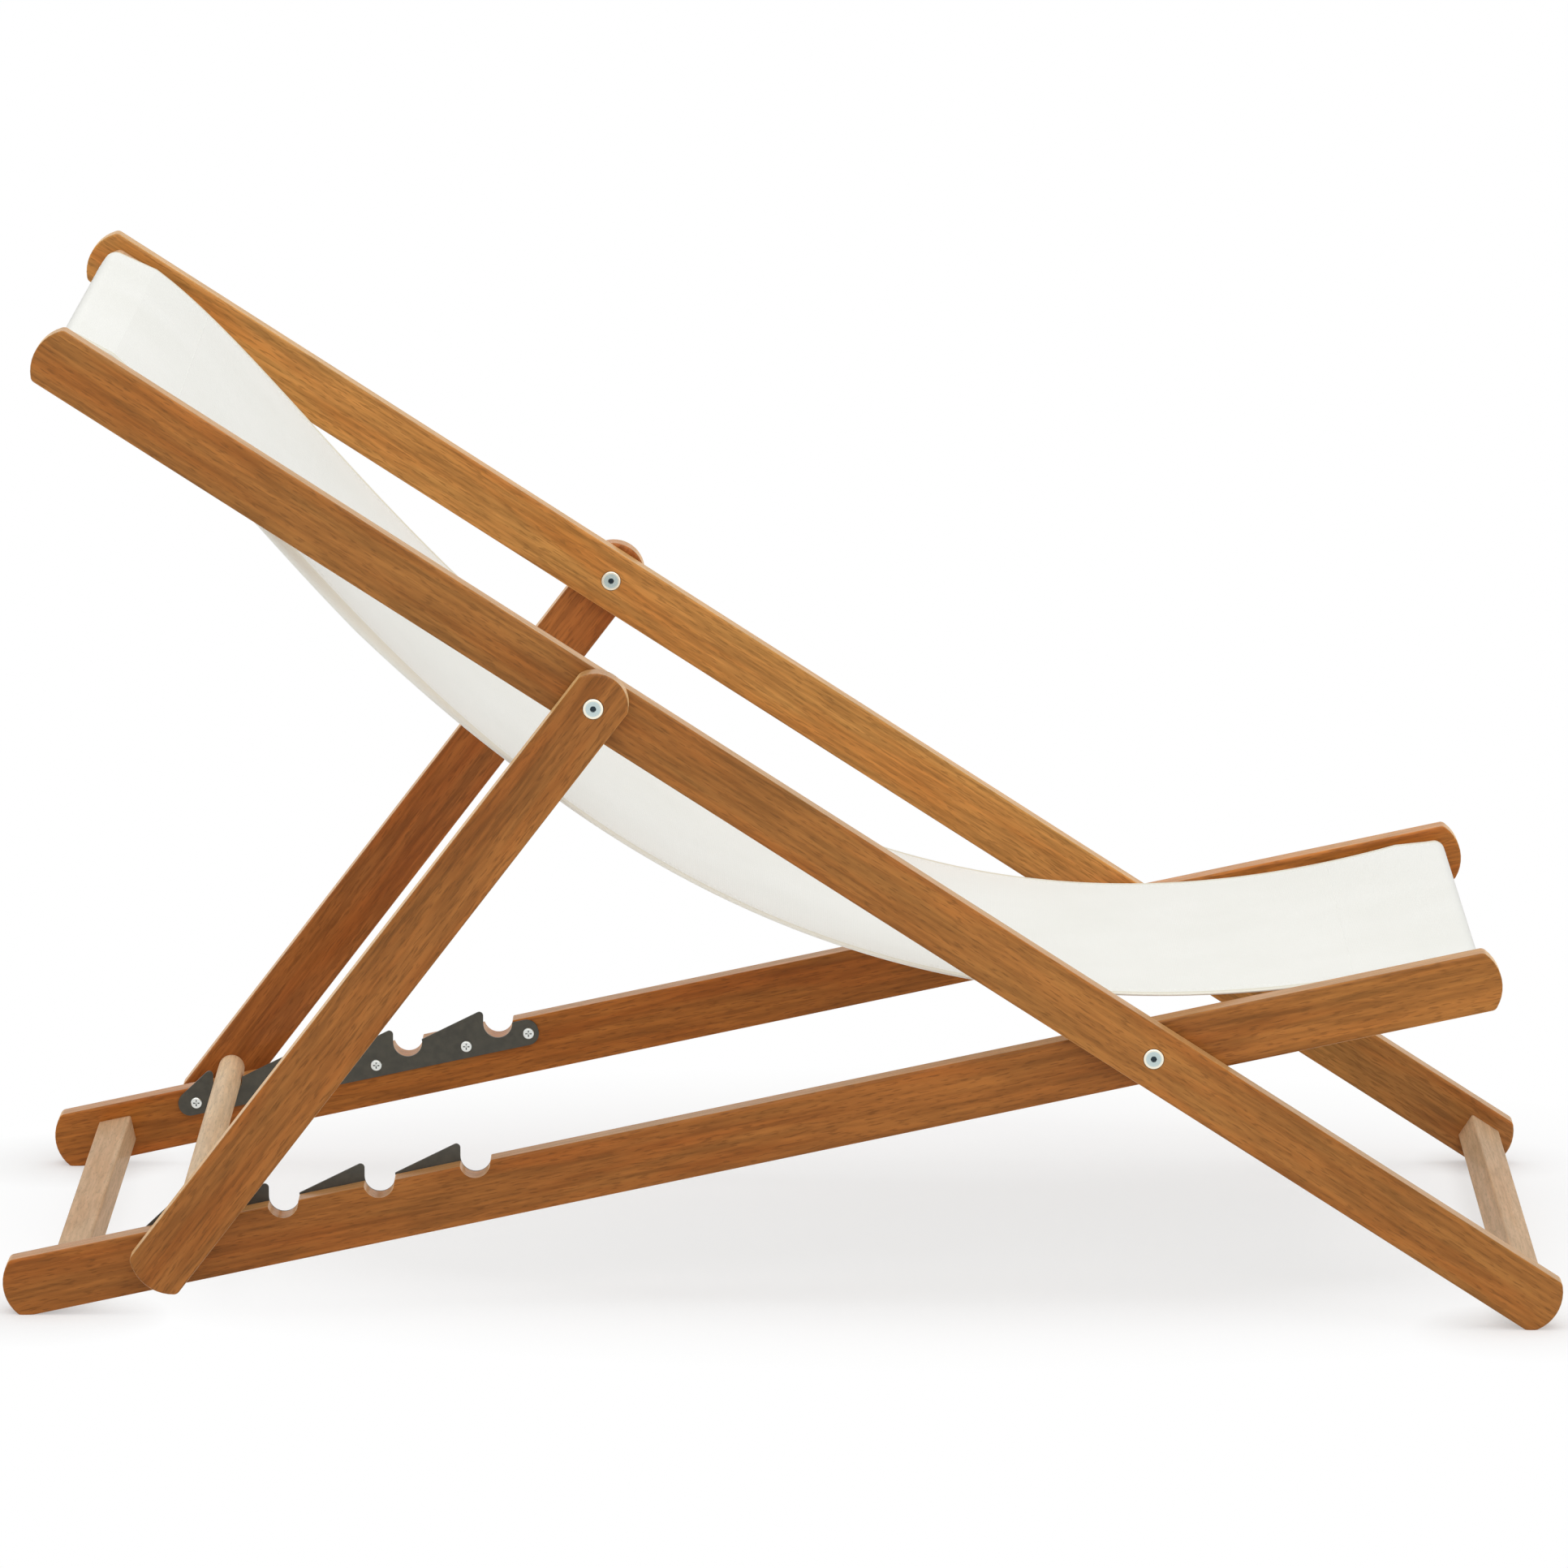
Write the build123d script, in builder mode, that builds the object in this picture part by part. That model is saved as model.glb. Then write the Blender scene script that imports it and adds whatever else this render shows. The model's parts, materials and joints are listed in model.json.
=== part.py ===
"""Folding deck chair: two scissored wooden frames, a propped back with notch plates, and a canvas sling.

Millimetres, +Z up, +X towards the front of the seat, +Y towards the sitter's left.
The origin is on the floor, under the middle of the chair's bounding box.
"""
from build123d import *

import os
from math import acos, atan2, cos, degrees, hypot, radians, sin, sqrt, tan

# Timber sections
RAIL_THICKNESS = 22.0
RAIL_WIDTH = 42.8
RAIL_END_RISE = 9.0
PROP_TOP_RISE = 13.5
PROP_TAIL_RISE = 8.3
CORNER_RADIUS = 5.0
EDGE_ROUND = 2.0
FOOT_CUT = 2.0

# Widths across the chair, from the prop legs inwards
OVERALL_WIDTH = 600.0
RAIL_GAP = 1.5

# Lengths along the rails: three from the scissor hinge, and the seat rail's tail from its rearmost notch
BACK_HEAD_LENGTH = 940.3
BACK_FOOT_LENGTH = 344.7
SEAT_FRONT_LENGTH = 254.7
SEAT_TAIL_LENGTH = 140.1

# Prop frame: its hinge on the back rail, the dowel below it and the leg's two ends
PROP_HINGE_DISTANCE = 474.1
PROP_REACH = 483.8
PROP_TOP_LENGTH = 25.6
PROP_TAIL_LENGTH = 43.6
DOWEL_DIAMETER = 20.0
DOWEL_SOCKET_DEPTH = 15.0
DOWEL_SOCKET_CLEARANCE = 0.05

# Notches in the seat rails
NOTCH_COUNT = 4
NOTCH_PITCH = 70.6
NOTCH_REACH = 703.6
NOTCH_DEPTH = 10.5
NOTCH_PLAY = 1.1
NOTCH_LIP_ROUND = 1.5
DOWEL_SEAT_GAP = 0.3

# Steel notch plates on the inner faces of the seat rails
PLATE_THICKNESS = 2.0
PLATE_BOTTOM = 0.6
PLATE_END_RADIUS = 9.0
PLATE_REAR_MARGIN = 41.2
PLATE_REAR_TOP = 15.2
PLATE_FRONT_MARGIN = 29.3
PLATE_FRONT_TOP = 20.4
TOOTH_HEIGHT = 13.5
TOOTH_LEAN = 12.0
TOOTH_TIP_RADIUS = 3.0
SCREW_SETBACK = 27.2
FRONT_SCREW_ADVANCE = 21.5
SCREW_LEVEL = 9.8
SCREW_HEAD_DIAMETER = 8.6
SCREW_HEAD_HEIGHT = 2.2
SCREW_HEAD_ROUND = 0.9
SCREW_DIAMETER = 4.0
SCREW_LENGTH = 14.0
SCREW_CLEARANCE = 0.1
SCREW_SLOT_WIDTH = 1.0
SCREW_SLOT_LENGTH = 4.8
SCREW_SLOT_DEPTH = 1.2

# Cross bars, each set back from the end of its rails
FOOT_BAR_DEPTH = 25.0
FOOT_BAR_HEIGHT = 20.0
FOOT_BAR_SETBACK = 26.5
REAR_BAR_DEPTH = 25.0
REAR_BAR_HEIGHT = 20.0
REAR_BAR_SETBACK = 48.5
CROSS_BAR_ROUND = 1.5
SLING_BAR_DEPTH = 40.0
SLING_BAR_HEIGHT = 22.0
SLING_BAR_ROUND = 6.0
SLING_BAR_LIFT = 1.5
HEAD_BAR_SETBACK = 34.0
FRONT_BAR_SETBACK = 33.5
TENON_LENGTH = 13.0
TENON_SHOULDER = 4.0
TENON_CLEARANCE = 0.1
TENON_END_CLEARANCE = 0.5

# Hinge hardware: a flat-headed bolt screwed into a flat-headed sleeve nut
HEAD_DIAMETER = 14.5
HEAD_HEIGHT = 2.0
HEAD_ROUND = 0.6
HEAD_RECESS = 1.6
HEAD_SIDE_CLEARANCE = 0.4
HEAD_UNDER_CLEARANCE = 0.2
SLEEVE_DIAMETER = 9.0
SLEEVE_END_CLEARANCE = 0.6
SLEEVE_RUNNING_CLEARANCE = 0.05
BOLT_DIAMETER = 6.0
BOLT_ENGAGEMENT = 30.0
BOLT_CLEARANCE = 0.05
HEX_SOCKET_SIZE = 4.0
HEX_SOCKET_DEPTH = 3.0
WASHER_DIAMETER = 20.0
WASHER_RUNNING_CLEARANCE = 0.3
WASHER_BORE_CLEARANCE = 0.1

# Canvas sling
SLING_WIDTH = 446.0
SLING_THICKNESS = 1.2
SLING_CLEARANCE = 0.3
SLING_BACK_ANGLE = 47.0
SLING_STRAIGHT_LENGTH = 300.0

SIDES = {"left": 1, "right": -1}
ON_SEAT = (Align.CENTER, Align.CENTER, Align.MIN)
BELOW_SEAT = (Align.CENTER, Align.CENTER, Align.MAX)

# Distances of the rails' faces from the chair's middle plane
prop_inner = OVERALL_WIDTH / 2 - RAIL_THICKNESS
back_inner = prop_inner - RAIL_GAP - RAIL_THICKNESS
seat_inner = back_inner - RAIL_GAP - RAIL_THICKNESS
plate_inner = seat_inner - PLATE_THICKNESS

# Places along the rails from the scissor hinge
seat_rear_length = NOTCH_REACH + SEAT_TAIL_LENGTH
head_bar_distance = BACK_HEAD_LENGTH - HEAD_BAR_SETBACK
foot_bar_distance = BACK_FOOT_LENGTH - FOOT_BAR_SETBACK
front_bar_distance = SEAT_FRONT_LENGTH - FRONT_BAR_SETBACK
rear_bar_distance = seat_rear_length - REAR_BAR_SETBACK

# Notch geometry in the seat rail's own directions
notch_radius = DOWEL_DIAMETER / 2 + NOTCH_PLAY
notch_level = RAIL_WIDTH / 2 - NOTCH_DEPTH + notch_radius
dowel_level = RAIL_WIDTH / 2 - NOTCH_DEPTH + DOWEL_SEAT_GAP + DOWEL_DIAMETER / 2
notch_places = [-NOTCH_REACH + index * NOTCH_PITCH for index in range(NOTCH_COUNT)]
screw_places = [place - SCREW_SETBACK for place in notch_places] + [notch_places[-1] + FRONT_SCREW_ADVANCE]

# The angle between the frames closes the triangle of scissor hinge, prop hinge and seated dowel
dowel_distance = hypot(NOTCH_REACH, dowel_level)
spread_cosine = PROP_HINGE_DISTANCE**2 + dowel_distance**2 - PROP_REACH**2
spread = acos(spread_cosine / (2 * PROP_HINGE_DISTANCE * dowel_distance)) + atan2(dowel_level, NOTCH_REACH)

# Both frames stand on the lower corner of their rails' domed ends
rear_corner = hypot(seat_rear_length - RAIL_END_RISE, RAIL_WIDTH / 2)
rear_corner_angle = atan2(RAIL_WIDTH / 2, seat_rear_length - RAIL_END_RISE)
foot_corner = hypot(BACK_FOOT_LENGTH - RAIL_END_RISE, RAIL_WIDTH / 2)
foot_corner_angle = atan2(RAIL_WIDTH / 2, BACK_FOOT_LENGTH - RAIL_END_RISE)
corner_spread = spread + rear_corner_angle + foot_corner_angle
rear_corner_tilt = atan2(foot_corner * sin(corner_spread), rear_corner + foot_corner * cos(corner_spread))
seat_tilt = rear_corner_tilt - rear_corner_angle
back_tilt = spread - seat_tilt
hinge_z = rear_corner * sin(rear_corner_tilt) - FOOT_CUT

# The box reaches from the seat rails' rear domes to the back rails' foot domes
end_radius = (RAIL_WIDTH**2 / 4 + RAIL_END_RISE**2) / (2 * RAIL_END_RISE)
rear_reach = (seat_rear_length - end_radius) * cos(seat_tilt) + end_radius
front_reach = (BACK_FOOT_LENGTH - end_radius) * cos(back_tilt) + end_radius
hinge_x = (rear_reach - front_reach) / 2


def seat_plane(y):
    """Plane along a seat rail at the scissor hinge: x runs to the front of the seat, y up, facing -Y."""
    return Plane(origin=(hinge_x, y, hinge_z), x_dir=(cos(seat_tilt), 0, sin(seat_tilt)), z_dir=(0, -1, 0))


def back_plane(y):
    """Plane along a back rail at the scissor hinge: x runs down to the foot, y up, facing -Y."""
    return Plane(origin=(hinge_x, y, hinge_z), x_dir=(cos(back_tilt), 0, -sin(back_tilt)), z_dir=(0, -1, 0))


scissor_hinge = Vector(hinge_x, 0, hinge_z)
prop_hinge = back_plane(0).from_local_coords(Vector(-PROP_HINGE_DISTANCE, 0, 0))
dowel_centre = seat_plane(0).from_local_coords(Vector(-NOTCH_REACH, dowel_level, 0))
prop_tilt = atan2(prop_hinge.Z - dowel_centre.Z, prop_hinge.X - dowel_centre.X)


def prop_plane(y):
    """Plane along a prop leg at its hinge: x runs up the leg, y rearwards and up, facing -Y."""
    origin = (prop_hinge.X, y, prop_hinge.Z)
    return Plane(origin=origin, x_dir=(cos(prop_tilt), 0, sin(prop_tilt)), z_dir=(0, -1, 0))


def across(point, y, facing):
    """Plane square to the chair's width through a hinge point, facing +Y or -Y."""
    return Plane(origin=(point.X, y, point.Z), x_dir=(1, 0, 0), z_dir=(0, facing, 0))


def slab_start(side, inner):
    """The face of a rail that lies furthest towards +Y, from which the rail is drawn towards -Y."""
    return side * (inner + RAIL_THICKNESS / 2) + RAIL_THICKNESS / 2


def rail_outline(low, high, width, low_rise, high_rise):
    """Straight bar from low to high along x, with domed ends of the given rise and softened corners."""
    with BuildSketch() as outline:
        with BuildLine():
            Polyline((low + low_rise, width / 2), (high - high_rise, width / 2))
            ThreePointArc((high - high_rise, width / 2), (high, 0), (high - high_rise, -width / 2))
            Polyline((high - high_rise, -width / 2), (low + low_rise, -width / 2))
            ThreePointArc((low + low_rise, -width / 2), (low, 0), (low + low_rise, width / 2))
        make_face()
        fillet(outline.vertices(), CORNER_RADIUS)
    return outline.sketch


def notch_cutter():
    """Round-bottomed notches open at the rail's top edge, each with its front lip rounded over."""
    lip_level = RAIL_WIDTH / 2 - NOTCH_LIP_ROUND
    lip_drop = notch_level - lip_level
    lip_offset = sqrt((notch_radius + NOTCH_LIP_ROUND) ** 2 - lip_drop**2)
    touch = notch_radius / (notch_radius + NOTCH_LIP_ROUND)
    lip_starts = [(place + lip_offset, notch_level - lip_drop * touch) for place in notch_places]
    with BuildSketch() as cutter:
        with Locations(*[(place, notch_level) for place in notch_places]):
            Circle(notch_radius)
            Rectangle(2 * notch_radius, notch_radius, align=(Align.CENTER, Align.MIN))
        with Locations(*lip_starts):
            Rectangle(lip_offset * (1 - touch), 2 * NOTCH_LIP_ROUND, align=(Align.MAX, Align.MIN))
        with Locations(*[(place + lip_offset, lip_level) for place in notch_places]):
            Circle(NOTCH_LIP_ROUND, mode=Mode.SUBTRACT)
    return cutter.sketch


def plate_outline():
    """Notch plate: rounded ends, and a leaning tooth behind each notch."""
    lean = radians(TOOTH_LEAN)
    tip_level = RAIL_WIDTH / 2 + TOOTH_HEIGHT
    rear_end = notch_places[0] - PLATE_REAR_MARGIN
    front_end = notch_places[-1] + PLATE_FRONT_MARGIN
    points = [(rear_end, PLATE_BOTTOM), (rear_end, PLATE_REAR_TOP)]
    tips = []
    for place in notch_places:
        root = (place - notch_radius * cos(lean), notch_level + notch_radius * sin(lean))
        tip = (root[0] + (tip_level - root[1]) * tan(lean), tip_level)
        tips.append(tip)
        points += [tip, root, (place, notch_level), (place + notch_radius, notch_level)]
    points[-1] = (notch_places[-1] + notch_radius, PLATE_FRONT_TOP)
    points += [(front_end, PLATE_FRONT_TOP), (front_end, PLATE_BOTTOM)]
    with BuildSketch() as outline:
        with BuildLine():
            Polyline(*points, close=True)
        make_face()
        with Locations(*[(place, notch_level) for place in notch_places]):
            Circle(notch_radius, mode=Mode.SUBTRACT)
        sharp = outline.vertices()
        fillet([sharp.sort_by_distance((*tip, 0))[0] for tip in tips], TOOTH_TIP_RADIUS)
        ends = outline.vertices().sort_by(Axis.X)
        fillet(ends[:2] + ends[-2:], PLATE_END_RADIUS)
    return outline.sketch


def mortise_size(depth, height):
    """Mouth of the mortise that takes the tenon of a bar of this section."""
    spare = 2 * TENON_CLEARANCE - 2 * TENON_SHOULDER
    return depth + spare, height + spare


os.makedirs("parts", exist_ok=True)
mortise_depth = TENON_LENGTH + TENON_END_CLEARANCE
head_recess_radius = HEAD_DIAMETER / 2 + HEAD_SIDE_CLEARANCE
sleeve_bore_radius = SLEEVE_DIAMETER / 2 + SLEEVE_RUNNING_CLEARANCE
sling_bar_section = (SLING_BAR_DEPTH, SLING_BAR_HEIGHT, SLING_BAR_ROUND)
foot_bar_section = (FOOT_BAR_DEPTH, FOOT_BAR_HEIGHT, CROSS_BAR_ROUND)
rear_bar_section = (REAR_BAR_DEPTH, REAR_BAR_HEIGHT, CROSS_BAR_ROUND)
sling_bar_mortise = mortise_size(SLING_BAR_DEPTH, SLING_BAR_HEIGHT)

# Seat rails: hinge bore with the nut's recess, notches, screw holes, and mortises for two bars
for name, side in SIDES.items():
    with BuildPart() as seat_rail:
        start = slab_start(side, seat_inner)
        with BuildSketch(seat_plane(start)):
            rail_ends = (-seat_rear_length, SEAT_FRONT_LENGTH)
            add(rail_outline(*rail_ends, RAIL_WIDTH, RAIL_END_RISE, RAIL_END_RISE))
        extrude(amount=RAIL_THICKNESS)
        broad_faces = seat_rail.faces().sort_by(Axis.Y)
        fillet(broad_faces[0].edges() + broad_faces[-1].edges(), EDGE_ROUND)
        with BuildSketch(seat_plane(start)):
            add(notch_cutter())
        extrude(amount=RAIL_THICKNESS, mode=Mode.SUBTRACT)
        with Locations(across(scissor_hinge, side * seat_inner, -side)):
            CounterBoreHole(sleeve_bore_radius, head_recess_radius, HEAD_RECESS)
        with BuildSketch(seat_plane(side * seat_inner)):
            with Locations((-rear_bar_distance, 0)):
                Rectangle(*mortise_size(REAR_BAR_DEPTH, REAR_BAR_HEIGHT))
            with Locations((front_bar_distance, SLING_BAR_LIFT)):
                Rectangle(*sling_bar_mortise)
        extrude(amount=-side * mortise_depth, mode=Mode.SUBTRACT)
        with BuildSketch(seat_plane(side * seat_inner)):
            with Locations(*[(place, SCREW_LEVEL) for place in screw_places]):
                Circle(SCREW_DIAMETER / 2 + SCREW_CLEARANCE)
        extrude(amount=-side * (SCREW_LENGTH - PLATE_THICKNESS + SCREW_CLEARANCE), mode=Mode.SUBTRACT)
        split(bisect_by=Plane.XY, keep=Keep.TOP)
    seat_rail.part.label = f"seat_rail_{name}"
    export_step(seat_rail.part, f"parts/seat_rail_{name}.step")

# Back rails: both hinge bores, and mortises for the head and foot bars
for name, side in SIDES.items():
    with BuildPart() as back_rail:
        with BuildSketch(back_plane(slab_start(side, back_inner))):
            rail_ends = (-BACK_HEAD_LENGTH, BACK_FOOT_LENGTH)
            add(rail_outline(*rail_ends, RAIL_WIDTH, RAIL_END_RISE, RAIL_END_RISE))
        extrude(amount=RAIL_THICKNESS)
        broad_faces = back_rail.faces().sort_by(Axis.Y)
        fillet(broad_faces[0].edges() + broad_faces[-1].edges(), EDGE_ROUND)
        with Locations(across(scissor_hinge, side * (back_inner + RAIL_THICKNESS), side)):
            CounterBoreHole(sleeve_bore_radius, head_recess_radius, HEAD_RECESS)
        with Locations(across(prop_hinge, side * back_inner, -side)):
            CounterBoreHole(sleeve_bore_radius, head_recess_radius, HEAD_RECESS)
        with BuildSketch(back_plane(side * back_inner)):
            with Locations((-head_bar_distance, SLING_BAR_LIFT)):
                Rectangle(*sling_bar_mortise)
            with Locations((foot_bar_distance, 0)):
                Rectangle(*mortise_size(FOOT_BAR_DEPTH, FOOT_BAR_HEIGHT))
        extrude(amount=-side * mortise_depth, mode=Mode.SUBTRACT)
        split(bisect_by=Plane.XY, keep=Keep.TOP)
    back_rail.part.label = f"back_rail_{name}"
    export_step(back_rail.part, f"parts/back_rail_{name}.step")

# Prop legs: hinge bore with the bolt head's recess, and a blind socket for the dowel
for name, side in SIDES.items():
    with BuildPart() as prop_leg:
        with BuildSketch(prop_plane(slab_start(side, prop_inner))):
            leg_ends = (-PROP_REACH - PROP_TAIL_LENGTH, PROP_TOP_LENGTH)
            add(rail_outline(*leg_ends, RAIL_WIDTH, PROP_TAIL_RISE, PROP_TOP_RISE))
        extrude(amount=RAIL_THICKNESS)
        broad_faces = prop_leg.faces().sort_by(Axis.Y)
        fillet(broad_faces[0].edges() + broad_faces[-1].edges(), EDGE_ROUND)
        with Locations(across(prop_hinge, side * (prop_inner + RAIL_THICKNESS), side)):
            CounterBoreHole(sleeve_bore_radius, head_recess_radius, HEAD_RECESS)
        with Locations(across(dowel_centre, side * prop_inner, -side)):
            socket_depth = DOWEL_SOCKET_DEPTH + DOWEL_SOCKET_CLEARANCE
            Hole(DOWEL_DIAMETER / 2 + DOWEL_SOCKET_CLEARANCE, depth=socket_depth)
    prop_leg.part.label = f"prop_leg_{name}"
    export_step(prop_leg.part, f"parts/prop_leg_{name}.step")

# Dowel that joins the prop legs and rests in the notches
with BuildPart() as prop_dowel:
    with BuildSketch(across(dowel_centre, 0, 1)):
        Circle(DOWEL_DIAMETER / 2)
    extrude(amount=prop_inner + DOWEL_SOCKET_DEPTH, both=True)
prop_dowel.part.label = "prop_dowel"
export_step(prop_dowel.part, "parts/prop_dowel.step")

# Steel plates that line the notches
for name, side in SIDES.items():
    with BuildPart() as notch_plate:
        with BuildSketch(seat_plane(side * seat_inner)):
            add(plate_outline())
            with Locations(*[(place, SCREW_LEVEL) for place in screw_places]):
                Circle(SCREW_DIAMETER / 2 + SCREW_CLEARANCE, mode=Mode.SUBTRACT)
        extrude(amount=side * PLATE_THICKNESS)
    notch_plate.part.label = f"notch_plate_{name}"
    export_step(notch_plate.part, f"parts/notch_plate_{name}.step")

# Cross-slotted screws that hold the plates
for name, side in SIDES.items():
    screw_plane = seat_plane(side * plate_inner)
    seats = [
        Plane(origin=screw_plane.from_local_coords(Vector(place, SCREW_LEVEL, 0)), z_dir=(0, -side, 0))
        for place in screw_places
    ]
    tops = [seat.offset(SCREW_HEAD_HEIGHT) for seat in seats]
    with BuildPart() as plate_screws:
        with Locations(*seats):
            Cylinder(SCREW_HEAD_DIAMETER / 2, SCREW_HEAD_HEIGHT, align=ON_SEAT)
        rims = plate_screws.edges().filter_by(GeomType.CIRCLE).group_by(Axis.Y)
        fillet(rims[0] if side > 0 else rims[-1], SCREW_HEAD_ROUND)
        with Locations(*seats):
            Cylinder(SCREW_DIAMETER / 2, SCREW_LENGTH, align=BELOW_SEAT)
        with BuildSketch(*tops):
            Rectangle(SCREW_SLOT_LENGTH, SCREW_SLOT_WIDTH)
            Rectangle(SCREW_SLOT_WIDTH, SCREW_SLOT_LENGTH)
        extrude(amount=-SCREW_SLOT_DEPTH, mode=Mode.SUBTRACT)
    plate_screws.part.label = f"plate_screws_{name}"
    export_step(plate_screws.part, f"parts/plate_screws_{name}.step")

# Cross bars of both frames
cross_bars = {
    "head_bar": (back_plane(0), -head_bar_distance, SLING_BAR_LIFT, sling_bar_section, back_inner),
    "foot_bar": (back_plane(0), foot_bar_distance, 0, foot_bar_section, back_inner),
    "front_bar": (seat_plane(0), front_bar_distance, SLING_BAR_LIFT, sling_bar_section, seat_inner),
    "rear_bar": (seat_plane(0), -rear_bar_distance, 0, rear_bar_section, seat_inner),
}
for name, (frame_plane, place, level, (depth, height, rounding), half_width) in cross_bars.items():
    with BuildPart() as bar:
        with BuildSketch(frame_plane):
            with Locations((place, level)):
                RectangleRounded(depth, height, rounding)
        extrude(amount=half_width, both=True)
        with BuildSketch(frame_plane):
            with Locations((place, level)):
                Rectangle(depth - 2 * TENON_SHOULDER, height - 2 * TENON_SHOULDER)
        extrude(amount=half_width + TENON_LENGTH, both=True)
    bar.part.label = name
    export_step(bar.part, f"parts/{name}.step")

# Hinge hardware: the sleeve nut sits in the inner rail, the bolt head in the outer one
hinges = {
    "scissor": (scissor_hinge, seat_inner),
    "prop": (prop_hinge, back_inner),
}
grip = 2 * RAIL_THICKNESS + RAIL_GAP - 2 * HEAD_RECESS
for hinge, (point, inner) in hinges.items():
    for name, side in SIDES.items():
        nut_seat = across(point, side * (inner + HEAD_RECESS), -side)
        bolt_seat = across(point, side * (inner + HEAD_RECESS + grip + HEAD_UNDER_CLEARANCE), side)
        washer_seat = across(point, side * (inner + RAIL_THICKNESS), side)
        with BuildPart() as nut:
            with Locations(nut_seat):
                Cylinder(HEAD_DIAMETER / 2, HEAD_HEIGHT, align=ON_SEAT)
            nut_top = nut_seat.offset(HEAD_HEIGHT)
            rims = nut.edges().filter_by(GeomType.CIRCLE).sort_by_distance(nut_top.origin)
            fillet(rims[0], HEAD_ROUND)
            with Locations(nut_seat):
                Cylinder(SLEEVE_DIAMETER / 2, grip - SLEEVE_END_CLEARANCE, align=BELOW_SEAT)
            with BuildSketch(nut_top):
                RegularPolygon(HEX_SOCKET_SIZE / 2, 6, major_radius=False)
            extrude(amount=-HEX_SOCKET_DEPTH, mode=Mode.SUBTRACT)
            with Locations(bolt_seat):
                Cylinder(
                    BOLT_DIAMETER / 2 + BOLT_CLEARANCE,
                    BOLT_ENGAGEMENT + SLEEVE_END_CLEARANCE,
                    align=BELOW_SEAT,
                    mode=Mode.SUBTRACT,
                )
        nut.part.label = f"{hinge}_nut_{name}"
        export_step(nut.part, f"parts/{hinge}_nut_{name}.step")
        with BuildPart() as bolt:
            with Locations(bolt_seat):
                Cylinder(HEAD_DIAMETER / 2, HEAD_HEIGHT, align=ON_SEAT)
            bolt_top = bolt_seat.offset(HEAD_HEIGHT)
            rims = bolt.edges().filter_by(GeomType.CIRCLE).sort_by_distance(bolt_top.origin)
            fillet(rims[0], HEAD_ROUND)
            with Locations(bolt_seat):
                Cylinder(BOLT_DIAMETER / 2, BOLT_ENGAGEMENT, align=BELOW_SEAT)
            with BuildSketch(bolt_top):
                RegularPolygon(HEX_SOCKET_SIZE / 2, 6, major_radius=False)
            extrude(amount=-HEX_SOCKET_DEPTH, mode=Mode.SUBTRACT)
        bolt.part.label = f"{hinge}_bolt_{name}"
        export_step(bolt.part, f"parts/{hinge}_bolt_{name}.step")
        with BuildPart() as washer:
            with BuildSketch(washer_seat):
                Circle(WASHER_DIAMETER / 2)
                Circle(SLEEVE_DIAMETER / 2 + WASHER_BORE_CLEARANCE, mode=Mode.SUBTRACT)
            extrude(amount=RAIL_GAP - WASHER_RUNNING_CLEARANCE)
        washer.part.label = f"{hinge}_washer_{name}"
        export_step(washer.part, f"parts/{hinge}_washer_{name}.step")

# Sling: a sleeve round the head bar, a straight drop, one long sag, and a sleeve round the front bar
side_plane = Plane(origin=(0, 0, 0), x_dir=(1, 0, 0), z_dir=(0, -1, 0))
back_angle = radians(SLING_BACK_ANGLE)
sleeve_radius = SLING_BAR_ROUND + SLING_CLEARANCE + SLING_THICKNESS
corner_inset = SLING_BAR_DEPTH / 2 - SLING_BAR_ROUND
corner_rise = SLING_BAR_LIFT + SLING_BAR_HEIGHT / 2 - SLING_BAR_ROUND
head_corner = back_plane(0).from_local_coords(Vector(-head_bar_distance + corner_inset, corner_rise, 0))
front_corner = seat_plane(0).from_local_coords(Vector(front_bar_distance - corner_inset, corner_rise, 0))
head_leave = (
    head_corner.X + sleeve_radius * sin(back_angle),
    head_corner.Z + sleeve_radius * cos(back_angle),
)
sag_start = (
    head_leave[0] + SLING_STRAIGHT_LENGTH * cos(back_angle),
    head_leave[1] - SLING_STRAIGHT_LENGTH * sin(back_angle),
)
front_arrive = (
    front_corner.X - sleeve_radius * sin(seat_tilt),
    front_corner.Z + sleeve_radius * cos(seat_tilt),
)
sleeve_outer = (
    SLING_BAR_DEPTH + 2 * (SLING_CLEARANCE + SLING_THICKNESS),
    SLING_BAR_HEIGHT + 2 * (SLING_CLEARANCE + SLING_THICKNESS),
    sleeve_radius,
)
sleeve_inner = (
    SLING_BAR_DEPTH + 2 * SLING_CLEARANCE,
    SLING_BAR_HEIGHT + 2 * SLING_CLEARANCE,
    SLING_BAR_ROUND + SLING_CLEARANCE,
)
sleeve_places = [(back_plane(0), -head_bar_distance), (seat_plane(0), front_bar_distance)]
with BuildPart() as sling:
    with BuildSketch(side_plane):
        with BuildLine():
            drop = Line(head_leave, sag_start)
            TangentArc(sag_start, front_arrive, tangent=drop % 1)
            offset(amount=SLING_THICKNESS, side=Side.RIGHT)
        make_face()
    extrude(amount=SLING_WIDTH / 2, both=True)
    for sleeve_plane, place in sleeve_places:
        with BuildSketch(sleeve_plane):
            with Locations((place, SLING_BAR_LIFT)):
                RectangleRounded(*sleeve_outer)
        extrude(amount=SLING_WIDTH / 2, both=True)
    for sleeve_plane, place in sleeve_places:
        with BuildSketch(sleeve_plane):
            with Locations((place, SLING_BAR_LIFT)):
                RectangleRounded(*sleeve_inner)
        extrude(amount=SLING_WIDTH / 2, both=True, mode=Mode.SUBTRACT)
sling.part.label = "sling"
export_step(sling.part, "parts/sling.step")

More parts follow.
